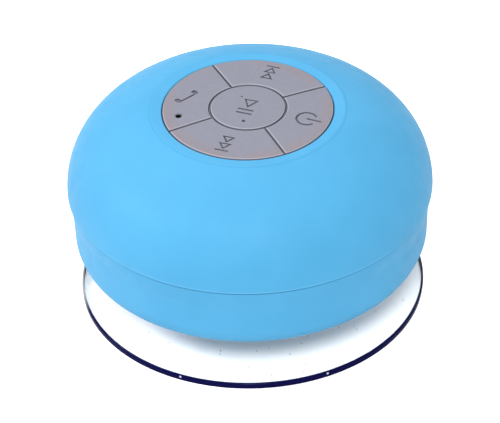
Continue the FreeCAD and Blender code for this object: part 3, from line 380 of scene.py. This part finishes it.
for entry in frame["record"]["subparts"]:
    carried = nodes[entry["node"]]
    carried.data.materials.clear()
    carried.data.materials.append(MATERIALS[entry["material_slot"]])
    carried.data.polygons.foreach_set("use_smooth", [True] * len(carried.data.polygons))
    carried.data.set_sharp_from_angle(angle=math.radians(28))
nodes["keypad_mat"].data.materials[0] = groove_grey()
nodes["light_pipe"].data.materials[0] = plain("smoked_plastic", (74, 74, 88), 0.3, amount=0.04)


# ---- pieces made here --------------------------------------------------------------------------

def arc_points(start, finish, radius, side, count):
    """Points along the arc from start to finish that turns left (side 1) or right (side -1)."""
    start, finish = Vector(start), Vector(finish)
    chord = finish - start
    rise = math.sqrt(radius ** 2 - (chord.length / 2) ** 2)
    centre = (start + finish) / 2 + Vector((-chord.y, chord.x)).normalized() * rise * side
    first = start - centre
    sweep = side * 2 * math.asin(chord.length / 2 / radius)
    points = []
    for step in range(1, count):
        turn = sweep * step / count
        points.append(centre + Vector((first.x * math.cos(turn) - first.y * math.sin(turn),
                                       first.x * math.sin(turn) + first.y * math.cos(turn))))
    return points


def lathe(name, section, steps):
    """Turns a section of (radius, height) points in millimetres into one closed mesh."""
    mesh = bmesh.new()
    rings = []
    for radius, height in section:
        if radius < 1e-6:
            rings.append([mesh.verts.new((0, 0, height * MM))] * steps)
            continue
        ring = []
        for step in range(steps):
            turn = 2 * math.pi * step / steps
            around = (radius * MM * math.cos(turn), radius * MM * math.sin(turn), height * MM)
            ring.append(mesh.verts.new(around))
        rings.append(ring)
    for low, high in zip(rings, rings[1:]):
        for step in range(steps):
            after = (step + 1) % steps
            corners = [low[step], low[after], high[after], high[step]]
            unique = list(dict.fromkeys(corners))
            if len(unique) > 2:
                mesh.faces.new(unique)
    bmesh.ops.recalc_face_normals(mesh, faces=mesh.faces)
    data = bpy.data.meshes.new(name)
    mesh.to_mesh(data)
    mesh.free()
    data.polygons.foreach_set("use_smooth", [True] * len(data.polygons))
    piece = bpy.data.objects.new(name, data)
    bpy.context.scene.collection.objects.link(piece)
    return piece


def suction_cup_skin():
    """The clear cup: hollow below, with a flat lip, a square-cut edge and a neck for the hub."""
    # Millimetres: the hollow, the outer wall, the lip's top, the neck and the bore for the hub.
    rise, half = 3.2, 39.8
    wall, wall_high = CUP_RAD / MM, 1.0
    lip = (40.6, 1.5)
    neck_foot = (9.6, 5.8)
    neck, neck_high = 8.4, 6.8
    bore, bore_low = 4.05, 4.35
    hollow = (half ** 2 + rise ** 2) / (2 * rise)
    section = [(0, rise)] + arc_points((0, rise), (half, 0), hollow, -1, 40)
    section += [(half, 0), (wall - 0.6, 0), (wall - 0.1, 0.02)]
    section += [(wall, 0.12), (wall, 0.55), (wall, wall_high)]
    section += arc_points((wall, wall_high), lip, 0.525, 1, 6)
    section += [lip] + arc_points(lip, neck_foot, 330, 1, 40) + [neck_foot]
    section += arc_points(neck_foot, (neck, neck_high), 1.6, -1, 8)
    section += [(neck, neck_high), (6.2, neck_high), (bore, neck_high)]
    section += [(bore, 5.6), (bore, bore_low), (2, bore_low), (0, bore_low)]
    piece = lathe("suction_cup_skin", section, 240)
    piece.data.set_sharp_from_angle(angle=math.radians(40))
    piece.data.materials.append(MATERIALS["clear_pvc"])
    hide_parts("suction_cup")
    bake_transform(piece)


def bending_leads():
    """The driver's two leads between the coil's former and the terminal, as a copy that stands in for the
    original.
    """
    piece = nodes["tinsel_leads"].copy()
    piece.data = piece.data.copy()
    piece.name = "tinsel_leads_flexing"
    piece.parent = None
    bpy.context.scene.collection.objects.link(piece)
    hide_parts("tinsel_leads")
    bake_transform(piece)


suction_cup_skin()
bending_leads()


# ---- stage, light and camera -------------------------------------------------------------------

def white_floor():
    size = 3.0
    mesh = bpy.data.meshes.new("floor")
    corners = [(-size, -size, 0), (size, -size, 0), (size, size, 0), (-size, size, 0)]
    mesh.from_pydata(corners, [], [(0, 1, 2, 3)])
    floor = bpy.data.objects.new("floor", mesh)
    bpy.context.scene.collection.objects.link(floor)
    shader = Shader("floor_white", roughness=0.9, specular=0.1)
    shader.colour(shader.between(shader.noise(6, 3), (0.88, 0.88, 0.885, 1), (0.9, 0.9, 0.9, 1)))
    # Painted light: the floor glows a little, which lifts its shadows.
    shader.set("Emission Color", (0.86, 0.95, 1.0, 1))
    shader.set("Emission Strength", 0.03)
    mesh.materials.append(shader.material)


def soft_light(name, azimuth, elevation, distance, size, watts, colour):
    """A round softbox that faces the object. Azimuth is counted from +X towards +Y."""
    data = bpy.data.lights.new(name, "AREA")
    data.shape = "DISK"
    data.size = size
    data.energy = watts
    data.color = colour
    lamp = bpy.data.objects.new(name, data)
    flat = math.cos(math.radians(elevation)) * distance
    lamp.location = (
        flat * math.cos(math.radians(azimuth)),
        flat * math.sin(math.radians(azimuth)),
        math.sin(math.radians(elevation)) * distance,
    )
    lamp.rotation_euler = (-lamp.location).to_track_quat("-Z", "Y").to_euler()
    bpy.context.scene.collection.objects.link(lamp)


CAMERA_ANGLE = 21.0      # degrees from +X towards +Y
CAMERA_RISE = 36.93      # degrees above the floor
CAMERA_ROLL = 1.62       # degrees that the axis leans left at the top
CAMERA_REACH = 0.700     # metres from the body's middle
LENS = 213.5             # millimetres on a 36 mm wide sensor
BODY_MIDDLE = 0.026      # height of the body's middle in metres
AIM_DOWN = 0.00471       # metres by which the frame's centre lies below the body's middle
AIM_LEFT = 0.00018       # metres by which it lies to the left


def photo_camera():
    data = bpy.data.cameras.new("camera")
    data.lens = LENS
    data.sensor_width = 36
    data.clip_start = 0.01
    camera = bpy.data.objects.new("camera", data)
    turn = math.radians(CAMERA_ANGLE)
    rise = math.radians(CAMERA_RISE)
    away = Vector((math.cos(turn) * math.cos(rise), math.sin(turn) * math.cos(rise), math.sin(rise)))
    right = Vector((-math.sin(turn), math.cos(turn), 0))
    up = away.cross(right)
    centre = Vector((0, 0, BODY_MIDDLE))
    camera.location = centre + away * CAMERA_REACH
    aim = centre - up * AIM_DOWN - right * AIM_LEFT
    forward = (aim - camera.location).normalized()
    roll = math.radians(CAMERA_ROLL)
    top = up * math.cos(roll) + right * math.sin(roll)
    side = forward.cross(top).normalized()
    top = side.cross(forward)
    turned = Matrix((side, top, -forward)).transposed()
    camera.matrix_world = Matrix.Translation(camera.location) @ turned.to_4x4()
    bpy.context.scene.collection.objects.link(camera)
    bpy.context.scene.camera = camera


def sky():
    world = bpy.data.worlds.new("studio")
    world.use_nodes = True
    world.node_tree.nodes["Background"].inputs["Color"].default_value = (0.97, 0.98, 1.0, 1)
    world.node_tree.nodes["Background"].inputs["Strength"].default_value = 1.2
    bpy.context.scene.world = world


white_floor()
sky()
# The camera stands at azimuth 21 degrees, so its left is at -69 degrees and its right at 111.
soft_light("front", 18, 49, 1.2, 0.32, 14.9, (0.97, 1.0, 1.0))
soft_light("left", -78, 37, 1.2, 0.40, 11.6, (1.0, 0.97, 1.0))
soft_light("back", 190, 66, 1.2, 0.50, 5.8, (1.0, 1.0, 1.0))
photo_camera()
bpy.context.scene.view_settings.view_transform = "Standard"
